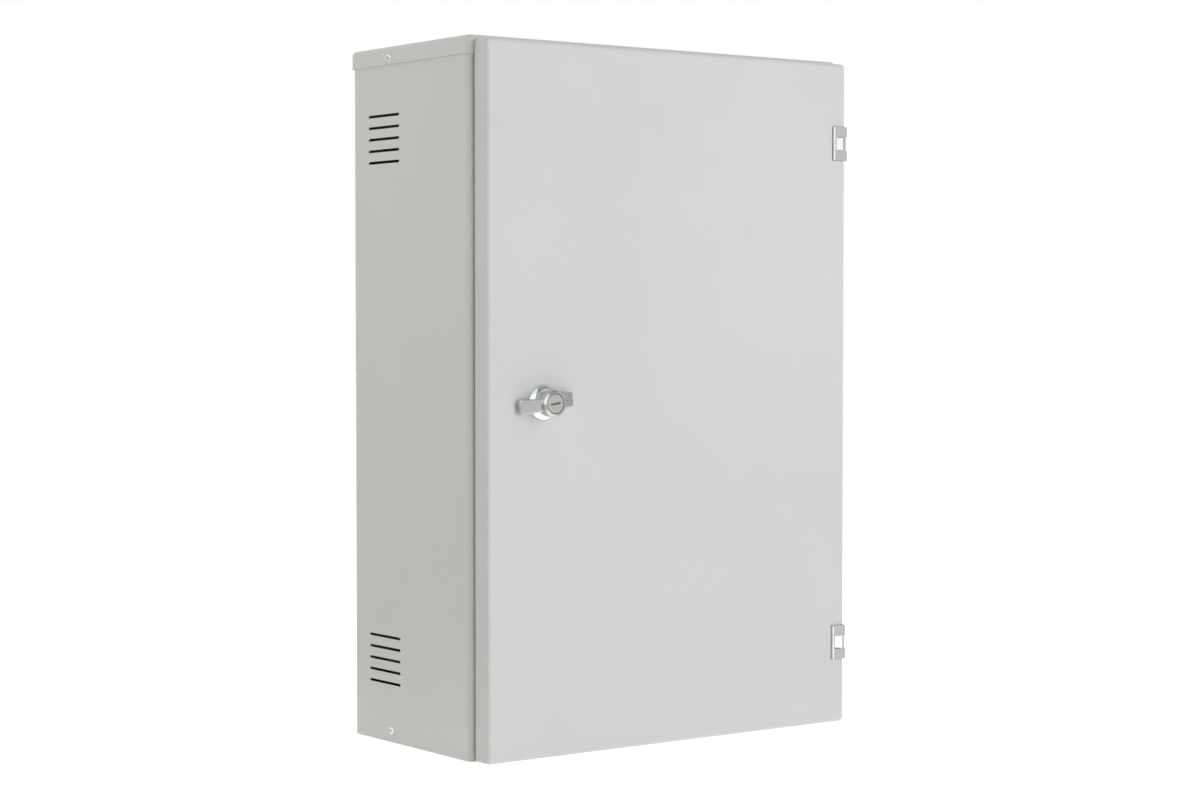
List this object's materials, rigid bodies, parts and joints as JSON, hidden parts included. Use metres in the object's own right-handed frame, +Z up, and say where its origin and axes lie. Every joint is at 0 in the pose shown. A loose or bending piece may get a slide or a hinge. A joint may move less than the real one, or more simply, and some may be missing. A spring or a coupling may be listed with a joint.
{
  "type": "wall-mounted telecom cabinet",
  "caption": "Light grey sheet steel wall cabinet with a riveted roof cap, vent slits in the sides, a hinged door and a lockable wing handle.",
  "frame": {"origin": "middle of the four wall fixing holes, on the wall plane", "axes": "+X to the right along the front, +Y into the wall, +Z up; the door faces -Y"},
  "size_m": [0.4064, 0.2241, 0.6006],
  "materials": {
    "body_paint": "light grey semi-gloss powder coat, fine texture",
    "door_paint": "light grey semi-gloss powder coat, fine texture",
    "rivets": "painted over with the body",
    "hinge_zinc": "die-cast zinc, satin",
    "lock_chrome": "polished chrome",
    "handle_zinc": "satin chrome on die-cast zinc",
    "cylinder_face": "brushed nickel",
    "plated_steel": "zinc plated",
    "galvanised": "galvanised sheet",
    "gasket_foam": "soft closed-cell foam",
    "grommet_rubber": "matt",
    "buffer": "soft translucent plastic"
  },
  "bodies": {
    "cabinet": {"body_earth_nut": "plated_steel", "body_earth_stud": "plated_steel", "body_shell": "body_paint", "cable_grommets": "grommet_rubber", "floor_rivets": "rivets", "floor_tray": "body_paint", "gland_plate": "body_paint", "gland_plate_screws": "plated_steel", "header_rail": "body_paint", "hinge_rivets": "plated_steel", "lower_hinge_frame_leaf": "hinge_zinc", "lower_hinge_pin": "plated_steel", "mounting_nuts": "plated_steel", "mounting_plate": "galvanised", "mounting_spacers": "plated_steel", "mounting_studs": "plated_steel", "roof_cap": "body_paint", "roof_rivets": "rivets", "upper_hinge_frame_leaf": "hinge_zinc", "upper_hinge_pin": "plated_steel"},
    "door": {"door_panel": "door_paint", "door_gasket": "gasket_foam", "door_buffer": "buffer", "door_earth_stud": "plated_steel", "door_earth_nut": "plated_steel", "hinge_studs": "plated_steel", "hinge_nuts": "plated_steel", "upper_hinge_door_leaf": "hinge_zinc", "lower_hinge_door_leaf": "hinge_zinc", "lock_housing": "lock_chrome", "lock_washer": "plated_steel", "lock_nut": "plated_steel"},
    "handle": {"wing_handle": "handle_zinc", "latch_cam": "plated_steel", "cam_screw": "plated_steel"},
    "key": {"key_cylinder": "cylinder_face"}
  },
  "joints": [
    {"name": "door_swing", "type": "hinge", "parent": "cabinet", "child": "door", "pos_m": [0.1925, -0.2044, 0], "axis": [0, 0, 1], "range_deg": [0, 180]},
    {"name": "handle_turn", "type": "hinge", "parent": "door", "child": "handle", "pos_m": [-0.14, -0.2053, -0.0036], "axis": [0, 1, 0], "range_deg": [0, 90]},
    {"name": "key_turn", "type": "hinge", "parent": "handle", "child": "key", "pos_m": [-0.14, -0.2241, -0.0036], "axis": [0, 1, 0], "range_deg": [0, 90]}
  ]
}
